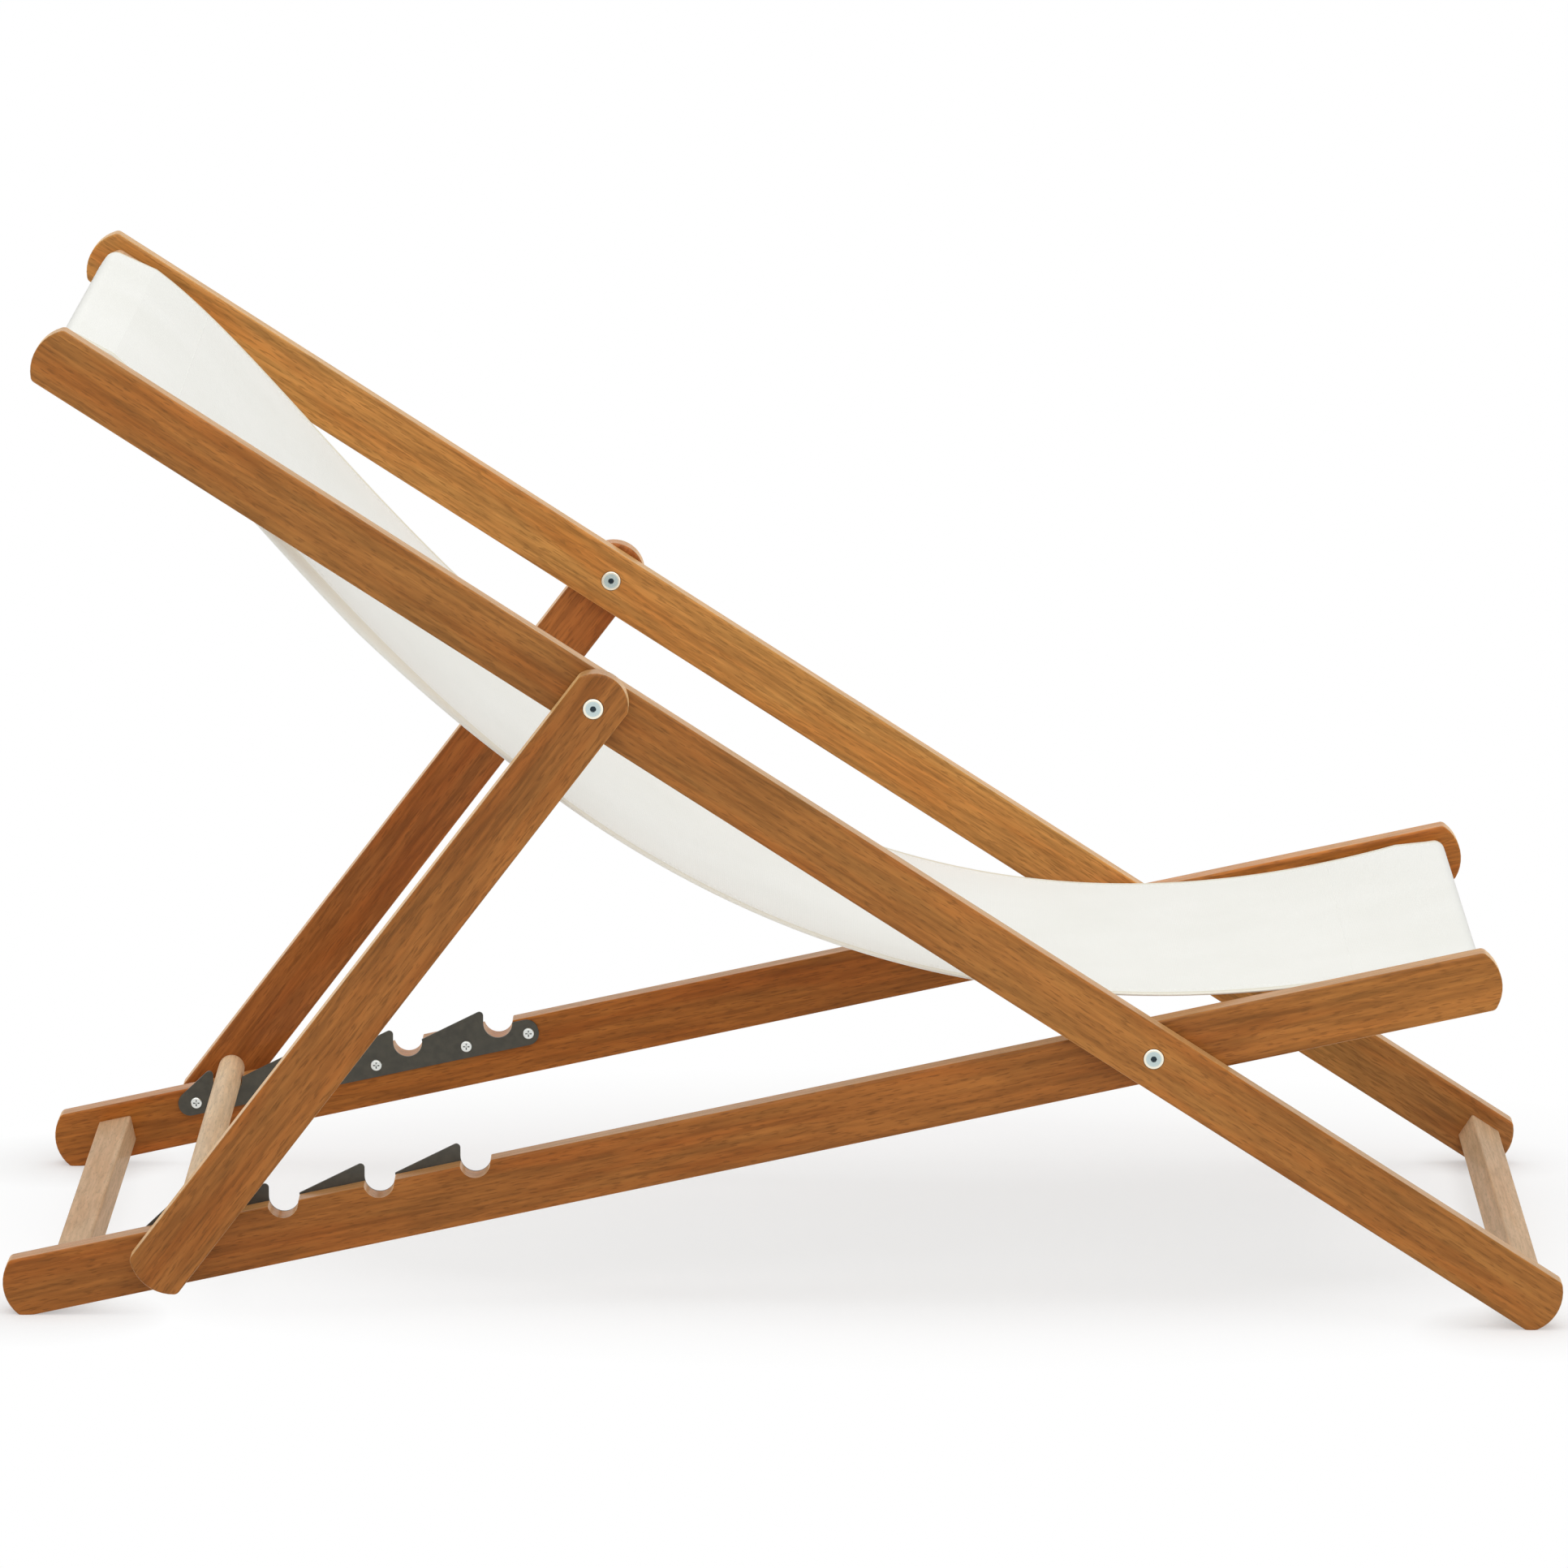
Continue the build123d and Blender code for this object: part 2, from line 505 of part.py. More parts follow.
print("seat tilt", round(degrees(seat_tilt), 3), "back tilt", round(degrees(back_tilt), 3))
print("prop tilt", round(degrees(prop_tilt), 3))
print("scissor hinge", [round(value, 3) for value in tuple(scissor_hinge)])
print("prop hinge", [round(value, 3) for value in tuple(prop_hinge)])
print("dowel", [round(value, 3) for value in tuple(dowel_centre)])
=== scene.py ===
"""Looks of a folding deck chair: stained rails, raw bars, bronzed plates, plated bolts and a canvas sling.

Metres, +Z up, +X to the front of the seat, +Y to the sitter's left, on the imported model's own frame.
"""

import json
import logging
import math
from bisect import bisect_right
from dataclasses import dataclass, field
from enum import Enum

import bmesh
import bpy
from mathutils import Color, Matrix, Vector, noise


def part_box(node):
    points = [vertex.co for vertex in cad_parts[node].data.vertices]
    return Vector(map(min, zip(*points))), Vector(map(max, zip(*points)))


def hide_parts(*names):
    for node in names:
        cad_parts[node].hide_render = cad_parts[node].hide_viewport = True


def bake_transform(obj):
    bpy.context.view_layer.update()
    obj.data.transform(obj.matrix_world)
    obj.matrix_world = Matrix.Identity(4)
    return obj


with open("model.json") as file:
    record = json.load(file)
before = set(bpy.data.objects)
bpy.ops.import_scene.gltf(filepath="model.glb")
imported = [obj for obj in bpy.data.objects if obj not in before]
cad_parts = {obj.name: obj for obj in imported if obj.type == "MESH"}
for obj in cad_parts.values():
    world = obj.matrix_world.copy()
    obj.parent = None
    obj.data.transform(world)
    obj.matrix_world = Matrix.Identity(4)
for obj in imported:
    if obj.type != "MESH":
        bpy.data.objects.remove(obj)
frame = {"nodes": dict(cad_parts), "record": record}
log = logging.getLogger("deck_chair")

Pair = tuple[float, float]
Triple = tuple[float, float, float]
Colour = Triple
Socket = bpy.types.NodeSocket
Material = bpy.types.Material
WAVE_UNIT = math.tau / 20  # period of a wave texture of scale 1


class Slot(str, Enum):
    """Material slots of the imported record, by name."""

    CANVAS = "canvas"


class Body(str, Enum):
    """The two bodies that the sling hangs between."""

    SEAT = "seat_frame"
    BACK = "back_frame"


class Side(Enum):
    """The sitter's left and right, as signs along Y."""

    LEFT = 1
    RIGHT = -1

    @property
    def word(self) -> str:
        """The side's name as the nodes spell it."""
        return self.name.lower()


def srgb(red: int, green: int, blue: int) -> Colour:
    """Turn a display colour into the linear colour that shaders use.

    Args:
        red: Red level, 0 to 255.
        green: Green level, 0 to 255.
        blue: Blue level, 0 to 255.

    Returns:
        The same colour in linear light.
    """
    light = Color((red / 255, green / 255, blue / 255)).from_srgb_to_scene_linear()
    return light.r, light.g, light.b


def scaled(colour: Colour, factor: float) -> Colour:
    """A colour made lighter or darker by one factor."""
    return colour[0] * factor, colour[1] * factor, colour[2] * factor


def seen_directly(tree: bpy.types.NodeTree) -> Socket:
    """Tell the eye's own rays, mirrored and refracted ones too, from those that carry light about.

    Args:
        tree: Node tree of a material or a world.

    Returns:
        A factor of 1 for what the eye sees, and 0 for the rest.
    """
    path = tree.nodes.new("ShaderNodeLightPath")
    seen = path.outputs["Is Camera Ray"]
    for ray in ("Is Glossy Ray", "Is Transmission Ray"):
        either = tree.nodes.new("ShaderNodeMath")
        either.operation = "MAXIMUM"
        tree.links.new(seen, either.inputs[0])
        tree.links.new(path.outputs[ray], either.inputs[1])
        seen = either.outputs["Value"]
    return seen


class Graph:
    """Node tree of one material, with short calls for the nodes that the finishes share."""

    def __init__(self, name: str) -> None:
        """Start a material with an empty principled surface."""
        self.material = bpy.data.materials.new(name)
        self.material.use_nodes = True
        self.tree = self.material.node_tree
        self.tree.nodes.clear()
        self.output = self.tree.nodes.new("ShaderNodeOutputMaterial")
        self.surface = self.tree.nodes.new("ShaderNodeBsdfPrincipled")
        self.tree.links.new(self.surface.outputs["BSDF"], self.output.inputs["Surface"])
        self.coords = self.tree.nodes.new("ShaderNodeTexCoord")

    def feed(self, socket: Socket, value: object) -> None:
        """Link an output into a socket, or set the socket's own value.

        Args:
            socket: Input socket to fill.
            value: Output socket, number, or tuple of numbers.
        """
        if isinstance(value, Socket):
            self.tree.links.new(value, socket)
        elif socket.type == "RGBA":
            socket.default_value = (*value, 1.0)
        else:
            socket.default_value = value

    def set(self, **values: object) -> None:
        """Fill the principled surface's inputs, with underscores for the spaces in their names.

        Args:
            values: Input names, capitalised as the shader shows them, and what goes into them.
        """
        self.fill(self.surface, values)

    def fill(self, node: bpy.types.Node, values: dict[str, object]) -> None:
        """Fill a node's inputs, with underscores for the spaces in their names."""
        for name, value in values.items():
            self.feed(node.inputs[name.replace("_", " ")], value)

    def add(self, kind: str, **values: object) -> bpy.types.Node:
        """Add a node to the tree.

        Args:
            kind: Blender's name of the shader node, without its prefix.
            values: What goes into its inputs, as in set.

        Returns:
            The node.
        """
        node = self.tree.nodes.new(f"ShaderNode{kind}")
        self.fill(node, values)
        return node

    def mapping(
        self,
        vector: Socket,
        turn: Triple = (0, 0, 0),
        scale: Triple = (1, 1, 1),
        shift: Triple = (0, 0, 0),
    ) -> Socket:
        """Turn, scale and shift a texture's coordinates.

        Args:
            vector: Coordinates to start from.
            turn: Rotation in radians.
            scale: Factors along the axes.
            shift: Offset added at the end.

        Returns:
            The changed coordinates.
        """
        node = self.add("Mapping", Vector=vector, Rotation=turn, Scale=scale, Location=shift)
        return node.outputs["Vector"]

    def noise(self, vector: Socket, scale: float, detail: float) -> Socket:
        """Cloudy noise from 0 to 1.

        Args:
            vector: Coordinates.
            scale: Features per metre of those coordinates.
            detail: Finer layers added on top.

        Returns:
            The noise's factor.
        """
        return self.add("TexNoise", Vector=vector, Scale=scale, Detail=detail).outputs[0]

    def wave(
        self,
        vector: Socket,
        direction: str,
        scale: float,
        distortion: float,
        detail: float = 1,
    ) -> Socket:
        """Sine bands from 0 to 1.

        Args:
            vector: Coordinates.
            direction: Axis that the bands follow one another along.
            scale: Band density.
            distortion: How far noise bends the bands.
            detail: Finer layers in that noise.

        Returns:
            The bands' factor.
        """
        node = self.add("TexWave", Vector=vector, Scale=scale, Distortion=distortion, Detail=detail)
        node.bands_direction = direction
        return node.outputs["Fac"]

    def remap(
        self, value: Socket, low: float, high: float, to_low: float = 0, to_high: float = 1
    ) -> Socket:
        """Stretch a factor from one range to another, clamped.

        Args:
            value: Factor to stretch.
            low: Input that gives to_low.
            high: Input that gives to_high.
            to_low: Result at low.
            to_high: Result at high.

        Returns:
            The stretched factor.
        """
        node = self.add("MapRange", Value=value, From_Min=low, From_Max=high, To_Min=to_low, To_Max=to_high)
        return node.outputs["Result"]

    def mix(
        self,
        factor: Socket,
        first: object,
        second: object,
        blend: str = "MIX",
    ) -> Socket:
        """Mix two colours.

        Args:
            factor: Share of the second colour.
            first: Colour or output at factor 0.
            second: Colour or output at factor 1.
            blend: Blend mode.

        Returns:
            The mixed colour.
        """
        node = self.add("Mix")
        node.data_type = "RGBA"
        node.blend_type = blend
        self.feed(node.inputs["Factor"], factor)
        colours = [socket for socket in node.inputs if socket.type == "RGBA"]
        self.feed(colours[0], first)
        self.feed(colours[1], second)
        return next(socket for socket in node.outputs if socket.type == "RGBA")

    def math(self, operation: str, first: object, second: object) -> Socket:
        """Combine two factors with one arithmetic operation.

        Args:
            operation: Blender's name of the operation.
            first: First output or number.
            second: Second output or number.

        Returns:
            The result.
        """
        node = self.add("Math")
        node.operation = operation
        self.feed(node.inputs[0], first)
        self.feed(node.inputs[1], second)
        return node.outputs["Value"]

    def part(self, vector: Socket, axis: str) -> Socket:
        """One part of a vector, by the name of its axis."""
        return self.add("SeparateXYZ", Vector=vector).outputs[axis]

    def length(self, vector: Socket) -> Socket:
        """Distance of coordinates from their origin.

        Args:
            vector: Coordinates.

        Returns:
            The distance.
        """
        node = self.add("VectorMath", Vector=vector)
        node.operation = "LENGTH"
        return node.outputs["Value"]

    def openness(self, reach: float) -> Socket:
        """How open a place lies, from 0 deep in a hollow to 1 on a free face.

        Args:
            reach: Distance in metres up to which the piece's own walls count.

        Returns:
            The openness.
        """
        node = self.add("AmbientOcclusion", Distance=reach)
        node.only_local = True
        node.samples = 8
        return node.outputs["AO"]

    def bump(self, height: Socket, depth: float, strength: float) -> None:
        """Raise the surface by a height pattern.

        Args:
            height: Pattern from 0 to 1.
            depth: Height of 1 in metres.
            strength: How much of the effect is kept.
        """
        node = self.add("Bump", Height=height, Distance=depth, Strength=strength)
        self.set(Normal=node.outputs["Normal"])


@dataclass(frozen=True)
class Figure:
    """One layer of marks in a board: their usual size, where they fade in, and how much they weigh."""

    length: float
    width: float
    detail: float
    limits: Pair
    weight: float = 1.0

    def drawn(self, graph: Graph, grain: Socket) -> Socket:
        """Noise drawn out along the board.

        Args:
            graph: Material that it belongs to.
            grain: Coordinates with the board's length on X.

        Returns:
            The noise, from 0 to 1.
        """
        across = self.length / self.width
        return graph.noise(graph.mapping(grain, scale=(1, across, across)), 1 / self.length, self.detail)

    def marks(self, graph: Graph, noise_level: Socket) -> Socket:
        """Noise of this layer, faded in between its limits and weighed."""
        return graph.remap(noise_level, *self.limits, 0, self.weight)


@dataclass(frozen=True)
class WoodFinish:
    """Oiled hardwood: streaks, red and gold runs, fine grain and open pores, painted light that makes its
    narrow faces paler, and painted light and shade that make it lighter or darker towards the front.
    """

    tone: Colour
    roughness: float
    gloss: float
    light_share: float = 1.36
    dark_share: float = 0.66
    red_shift: Colour = (1.00, 0.86, 0.74)
    gold_shift: Colour = (1.01, 1.07, 1.10)
    # Painted light: the factor below makes the narrow faces, tops and undersides alike, paler, as if lit
    # from above.
    narrow_shift: Colour = (1.22, 1.32, 1.30)
    # Painted light and shade: a factor that makes a board lighter or darker towards the chair's front,
    # between two places along X.
    front_shift: Colour = (1.0, 1.0, 1.0)
    front_reach: Pair = (0.20, 0.46)
    pore_share: float = 0.55
    pore_darkness: float = 0.50
    sheen_share: float = 0.85
    sheen_tint: Colour = (1.0, 0.68, 0.32)
    narrow_facing: Pair = (0.35, 0.9)
    rough_limits: Pair = (0.3, 0.7)
    rough_swing: Pair = (0.08, -0.04)
    board_step: Triple = (1.37, 0.61, 0.83)
    broad: Figure = Figure(0.45, 0.060, 1, (0.35, 0.65), 0.26)
    streaks: Figure = Figure(0.14, 0.008, 3, (0.38, 0.62), 0.28)
    lines: Figure = Figure(0.040, 0.0026, 4, (0.38, 0.62), 0.46)
    reddening: Figure = Figure(0.16, 0.018, 2, (0.46, 0.66), 0.9)
    gilding: Figure = Figure(0.11, 0.013, 2, (0.48, 0.66), 0.8)
    pores: Figure = Figure(0.010, 0.0012, 1, (0.56, 0.68))

    def material(self, name: str, turn: Triple, board: int) -> Material:
        """Make the finish for one board.

        Args:
            name: Name of the material.
            turn: Rotation that lays the board's length on X.
            board: Number of the board, so that no two boards repeat each other.

        Returns:
            The board's material.
        """
        graph = Graph(name)
        place = graph.coords.outputs["Object"]
        shift = tuple(step * board for step in self.board_step)
        grain = graph.mapping(place, turn=turn, shift=shift)
        lines = self.lines.drawn(graph, grain)
        broad, streaks, red, gold, pores = [
            figure.marks(graph, figure.drawn(graph, grain))
            for figure in (self.broad, self.streaks, self.reddening, self.gilding, self.pores)
        ]
        tone = graph.math("ADD", graph.math("ADD", broad, streaks), self.lines.marks(graph, lines))
        colour = graph.mix(tone, scaled(self.tone, self.dark_share), scaled(self.tone, self.light_share))
        colour = graph.mix(red, colour, self.red_shift, "MULTIPLY")
        colour = graph.mix(gold, colour, self.gold_shift, "MULTIPLY")
        pitted = scaled(self.tone, self.pore_darkness)
        colour = graph.mix(graph.math("MULTIPLY", pores, self.pore_share), colour, pitted)
        # Painted light: faces whose normal lies across Y, the narrow ones, are made paler.
        facing = graph.math("ABSOLUTE", graph.part(graph.coords.outputs["Normal"], "Y"), 0)
        narrow = graph.remap(facing, *self.narrow_facing, 1, 0)
        colour = graph.mix(narrow, colour, self.narrow_shift, "MULTIPLY")
        # Painted light and shade: the board grows lighter or darker towards the chair's front.
        forward = graph.remap(graph.part(place, "X"), *self.front_reach)
        colour = graph.mix(forward, colour, self.front_shift, "MULTIPLY")
        rough_ends = [self.roughness + swing for swing in self.rough_swing]
        graph.set(
            Base_Color=colour,
            Roughness=graph.remap(lines, *self.rough_limits, *rough_ends),
            Specular_IOR_Level=0.06,
            Coat_Weight=self.gloss,
            Coat_Roughness=0.16,
            Coat_IOR=1.3,
            Sheen_Weight=self.sheen_share,
            Sheen_Roughness=0.3,
            Sheen_Tint=self.sheen_tint,
        )
        graph.bump(graph.math("SUBTRACT", lines, pores), depth=0.00012, strength=0.5)
        return graph.material


@dataclass(frozen=True)
class MetalFinish:
    """Plated or painted metal with fine rubbing marks, cloudy dulling and painted shade in its hollows; bolt
    heads get a painted highlight on the rim and painted shade in the dish and socket.
    """

    colour: Colour
    worn: Colour
    metallic: float
    roughness: float
    mark_width: float = 0.0004
    mark_stretch: float = 0.08
    cloud_density: float = 160
    cloud_limits: Pair = (0.35, 0.75)
    rough_limits: Pair = (0.3, 0.7)
    rough_swing: Pair = (-0.05, 0.08)
    hollow_reach: float = 0.0016
    hollow_openness: Pair = (0.30, 0.62)
    hollow_colour: Colour = (0.010, 0.011, 0.012)
    rim_colour: Colour = srgb(240, 233, 214)
    rim_radius: float = 0.0057
    rim_blur: Pair = (-0.0006, 0.0004)
    ring_darkness: float = 0.72
    ring_plainness: float = 0.72
    ring_radius: float = 0.0036
    socket_colour: Colour = (0.030, 0.044, 0.054)
    socket_radius: float = 0.0021
    socket_blur: Pair = (-0.0002, 0.0003)

    def material(self, name: str, axis: Vector | None = None) -> Material:
        """Make the finish.

        Args:
            name: Name of the material.
            axis: A place on the axis of a bolt head, whose rim gets a painted highlight and whose dish and
                socket get painted shade.

        Returns:
            The metal's material.
        """
        graph = Graph(name)
        place = graph.coords.outputs["Object"]
        rubbed = graph.mapping(place, scale=(self.mark_stretch, 1, 1))
        marks = graph.noise(rubbed, 1 / self.mark_width, detail=2)
        clouds = graph.noise(place, self.cloud_density, detail=3)
        colour = graph.mix(graph.remap(clouds, *self.cloud_limits), self.colour, self.worn)
        # Painted highlight on the head's rim, painted shade over its dish and in its socket.
        if axis is not None:
            round_axis = graph.length(graph.mapping(place, scale=(1, 0, 1), shift=(-axis.x, 0, -axis.z)))
            plain = graph.remap(round_axis, self.ring_radius, self.rim_radius, self.ring_plainness, 1)
            colour = graph.mix(plain, scaled(self.colour, self.ring_darkness), colour)
            rim = graph.remap(round_axis, *[self.rim_radius + blur for blur in self.rim_blur])
            colour = graph.mix(rim, colour, self.rim_colour)
            socket = graph.remap(round_axis, *[self.socket_radius + blur for blur in self.socket_blur], 1, 0)
            colour = graph.mix(socket, colour, self.socket_colour)
        # Painted shade: places that the piece's own walls hem in, such as sockets and cross slots, are
        # darkened.
        hollow = graph.remap(graph.openness(self.hollow_reach), *self.hollow_openness, 1, 0)
        rough_ends = [self.roughness + swing for swing in self.rough_swing]
        graph.set(
            Base_Color=graph.mix(hollow, colour, self.hollow_colour),
            Metallic=self.metallic,
            Roughness=graph.remap(clouds, *self.rough_limits, *rough_ends),
        )
        graph.bump(marks, depth=0.00003, strength=0.4)
        return graph.material


@dataclass(frozen=True)
class CanvasFinish:
    """Plain-woven cotton canvas on the piece's own flat measure, with slubs, faint handling shades and
    painted shade on each hem's roll towards its crease.
    """

    colour: Colour
    shade: Colour
    hem_light: Colour
    hem_shade: Colour
    cut_width: float
    hem_bottom: float
    hem_crease: float
    crease_blur: float = 0.0005
    yarn_pitch: float = 0.0011
    yarn_wander: float = 0.6
    gap_shade: float = 0.4
    slub_density: float = 900
    slub_stretch: float = 0.06
    slub_limits: Pair = (0.45, 0.7)
    slub_height: float = 0.6
    cloud_density: float = 9
    cloud_limits: Pair = (0.35, 0.7)
    cloud_shade: float = 0.45
    uv_name: str = "flat"

    def material(self, name: str) -> Material:
        """Make the finish.

        Args:
            name: Name of the material.

        Returns:
            The cloth's material.
        """
        graph = Graph(name)
        node = graph.add("UVMap")
        node.uv_map = self.uv_name
        flat = node.outputs["UV"]
        density = WAVE_UNIT / self.yarn_pitch
        warp, weft = [graph.wave(flat, axis, density, distortion=self.yarn_wander) for axis in "XY"]
        crossing = graph.math("MULTIPLY", warp, weft)
        drawn_out = graph.mapping(flat, scale=(1, self.slub_stretch, 1))
        slubs = graph.noise(drawn_out, self.slub_density, detail=2)
        clouds = graph.noise(flat, self.cloud_density, detail=3)
        weave = graph.math("ADD", crossing, graph.remap(slubs, *self.slub_limits, 0, self.slub_height))
        between_yarns = graph.remap(crossing, 0, 1, self.gap_shade, 0)
        handled = graph.remap(clouds, *self.cloud_limits, 0, self.cloud_shade)
        shade = graph.math("ADD", handled, between_yarns)
        across = graph.part(flat, "X")
        inset = graph.math("MINIMUM", across, graph.math("SUBTRACT", self.cut_width, across))
        # Painted shade: each hem darkens and yellows from the bottom of its roll to its crease.
        crease_shade_share = graph.remap(inset, self.hem_bottom, self.hem_crease)
        band = graph.mix(crease_shade_share, self.hem_light, self.hem_shade)
        blur = self.crease_blur
        hem = graph.remap(inset, self.hem_crease - blur, self.hem_crease + blur, 1, 0)
        graph.set(
            Base_Color=graph.mix(hem, graph.mix(shade, self.colour, self.shade), band),
            Roughness=0.92,
            Sheen_Weight=0.12,
            Sheen_Roughness=0.6,
            Specular_IOR_Level=0.2,
        )
        graph.bump(weave, depth=0.00018, strength=0.45)
        return graph.material


@dataclass(frozen=True)
class ThreadFinish:
    """Twisted sewing thread."""

    colour: Colour
    shade: Colour
    twist_density: float = 900

    def material(self, name: str) -> Material:
        """Make the finish.

        Args:
            name: Name of the material.

        Returns:
            The thread's material.
        """
        graph = Graph(name)
        place = graph.coords.outputs["Object"]
        twist = graph.wave(place, "DIAGONAL", self.twist_density, distortion=1)
        graph.set(Base_Color=graph.mix(twist, self.shade, self.colour), Roughness=0.7, Sheen_Weight=0.2)
        graph.bump(twist, depth=0.0001, strength=0.5)
        return graph.material


@dataclass(frozen=True)
class FloorFinish:
    """White studio sweep: light shade under the chair, more at its feet, and pure white further out."""

    colour: Colour = (0.95, 0.95, 0.95)
    shade_middle: Pair = (0.10, 0.10)
    shade_reach: Pair = (0.46, 0.30)
    fade: float = 0.7
    washed_out: float = 0.66
    feet: tuple[Pair, ...] = ((-0.545, 0.243), (0.540, 0.266))
    foot_reach: Pair = (0.015, 0.11)
    foot_washed_out: float = 0.42

    def material(self, name: str) -> Material:
        """Make the finish.

        Args:
            name: Name of the material.

        Returns:
            The floor's material.
        """
        graph = Graph(name)
        graph.set(Base_Color=self.colour, Roughness=0.9, Specular_IOR_Level=0.0)
        place = graph.coords.outputs["Object"]
        long, deep = self.shade_reach
        forward, aside = self.shade_middle
        near = graph.mapping(place, scale=(1 / long, 1 / deep, 0), shift=(-forward / long, -aside / deep, 0))
        away = graph.remap(graph.length(near), 1, 1 + self.fade, self.washed_out, 1)
        for forward, aside in self.feet:
            for side in Side:
                foot = graph.mapping(place, scale=(1, 1, 0), shift=(-forward, -aside * side.value, 0))
                apart = graph.remap(graph.length(foot), *self.foot_reach, self.foot_washed_out, 1)
                away = graph.math("MINIMUM", away, apart)
        washed = graph.math("MULTIPLY", away, seen_directly(graph.tree))
        white = graph.add("Emission")
        mixer = graph.add("MixShader")
        ends = (washed, graph.surface.outputs["BSDF"], white.outputs["Emission"])
        for socket, end in zip(mixer.inputs, ends):
            graph.feed(socket, end)
        graph.feed(graph.output.inputs["Surface"], mixer.outputs["Shader"])
        return graph.material


class Chair:
    """Places that every sub-assembly shares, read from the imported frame."""

    def __init__(self) -> None:
        """Read the hinges and the boards' tilts."""
        joints = {joint["name"]: joint for joint in frame["record"]["behaviour"]["joints"]}
        self.scissor = Vector(joints["back_raise"]["pos_m"])
        self.prop = Vector(joints["prop_swing"]["pos_m"])
        self.head_bar = self.middle("head_bar")
        self.front_bar = self.middle("front_bar")
        self.back_tilt = self.rise(self.scissor, self.prop)
        self.seat_tilt = self.rise(self.middle("rear_bar"), self.front_bar)
        self.prop_tilt = self.rise(self.middle("prop_dowel"), self.prop)

    @staticmethod
    def middle(node: str) -> Vector:
        """Middle of a node's box."""
        low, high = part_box(node)
        return (Vector(low) + Vector(high)) / 2

    @staticmethod
    def rise(start: Vector, end: Vector) -> float:
        """Slope of the line from one place to another, in the side view.

        Args:
            start: First place.
            end: Second place.

        Returns:
            The angle above the horizontal, in radians, without regard to front and rear.
        """
        return math.atan2(end.z - start.z, abs(end.x - start.x))


def dress(node: str, material: Material) -> None:
    """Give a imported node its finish.

    Args:
        node: Name of the node.
        material: Finish for all its faces.
    """
    piece = frame["nodes"][node]
    if not piece.material_slots:
        piece.data.materials.append(material)
    for slot in piece.material_slots:
        slot.material = material
    log.info("dressed %s in %s", node, material.name)


@dataclass
class Boards:
    """The stained rails and legs, each with its own tone and run of grain; the tones hold painted light as
    well as wood colour, and three boards get painted light and shade towards the front.
    """

    chair: Chair
    # Tones are partly the wood's own colour and partly painted light: some boards, the left ones most, are
    # made lighter to make up for the shade that falls on them.
    tones: dict[str, Colour] = field(
        default_factory=lambda: {
            "back_rail_right": (0.342, 0.137, 0.033),
            "back_rail_left": (0.508, 0.223, 0.057),
            "seat_rail_right": (0.322, 0.114, 0.0245),
            "seat_rail_left": (0.396, 0.130, 0.024),
            "prop_leg_right": (0.312, 0.118, 0.028),
            "prop_leg_left": (0.400, 0.131, 0.030),
        }
    )
    # Painted light and shade: the two seat rails are made lighter towards the front, and the left back rail
    # darker at its lower front end, where it lies in shadow.
    fronts: dict[str, tuple[Colour, Pair]] = field(
        default_factory=lambda: {
            "seat_rail_right": ((1.16, 1.28, 1.35), (0.20, 0.46)),
            "seat_rail_left": ((1.04, 1.10, 1.14), (0.20, 0.46)),
            "back_rail_left": ((0.72, 0.65, 0.70), (0.40, 0.53)),
        }
    )
    roughness: float = 0.32
    gloss: float = 0.30

    def turn(self, node: str) -> Triple:
        """Rotation that lays a board's length on X."""
        tilts = {"back": -self.chair.back_tilt, "seat": self.chair.seat_tilt, "prop": self.chair.prop_tilt}
        return 0, tilts[node.split("_")[0]], 0

    def dress(self) -> None:
        """Finish every board."""
        for board, (node, tone) in enumerate(self.tones.items(), start=1):
            shift, reach = self.fronts.get(node, (WoodFinish.front_shift, WoodFinish.front_reach))
            finish = WoodFinish(tone, self.roughness, self.gloss, front_shift=shift, front_reach=reach)
            dress(node, finish.material(f"stained_{node}", self.turn(node), board))


@dataclass
class Bars:
    """The raw cross bars and the dowel, with their grain across the chair."""

    nodes: tuple[str, ...] = ("head_bar", "front_bar", "foot_bar", "rear_bar", "prop_dowel")
    tone: Colour = srgb(206, 172, 137)
    # Painted light: the dowel's tone is paler than the other bars' to make up for the shade it sits in.
    dowel_tone: Colour = srgb(238, 208, 172)
    roughness: float = 0.6
    gloss: float = 0.1
    turn: Triple = (0, 0, -math.pi / 2)
    first_board: int = 11

    def dress(self) -> None:
        """Finish every bar."""
        for board, node in enumerate(self.nodes, start=self.first_board):
            finish = WoodFinish(
                self.dowel_tone if node == "prop_dowel" else self.tone,
                self.roughness,
                self.gloss,
                light_share=1.18,
                dark_share=0.82,
                red_shift=(0.98, 0.90, 0.83),
                gold_shift=(1.02, 1.03, 1.02),
                narrow_shift=(1.0, 1.0, 1.0),
                pore_share=0.30,
                sheen_share=0.1,
            )
            dress(node, finish.material(f"raw_{node}", self.turn, board))


@dataclass
class Hardware:
    """Notch plates, their screws, and the bolts, sleeve nuts and washers of the hinges."""

    chair: Chair
    plate: MetalFinish = MetalFinish(srgb(70, 68, 60), srgb(84, 81, 71), metallic=0.35, roughness=0.48)
    screw: MetalFinish = MetalFinish(srgb(236, 238, 234), srgb(222, 226, 222), metallic=1.0, roughness=0.30)
    bolt: MetalFinish = MetalFinish(srgb(196, 210, 208), srgb(180, 196, 196), metallic=1.0, roughness=0.24)

    def dress(self) -> None:
        """Finish every metal piece."""
        plate = self.plate.material("bronzed_plate")
        screw = self.screw.material("zinc_screw_head")
        hinges = {
            "scissor": self.bolt.material("bright_scissor_bolt", self.chair.scissor),
            "prop": self.bolt.material("bright_prop_bolt", self.chair.prop),
        }
        for side in Side:
            dress(f"notch_plate_{side.word}", plate)
            dress(f"plate_screws_{side.word}", screw)
            for hinge, bolt in hinges.items():
                for piece in ("bolt", "nut", "washer"):
                    dress(f"{hinge}_{piece}_{side.word}", bolt)


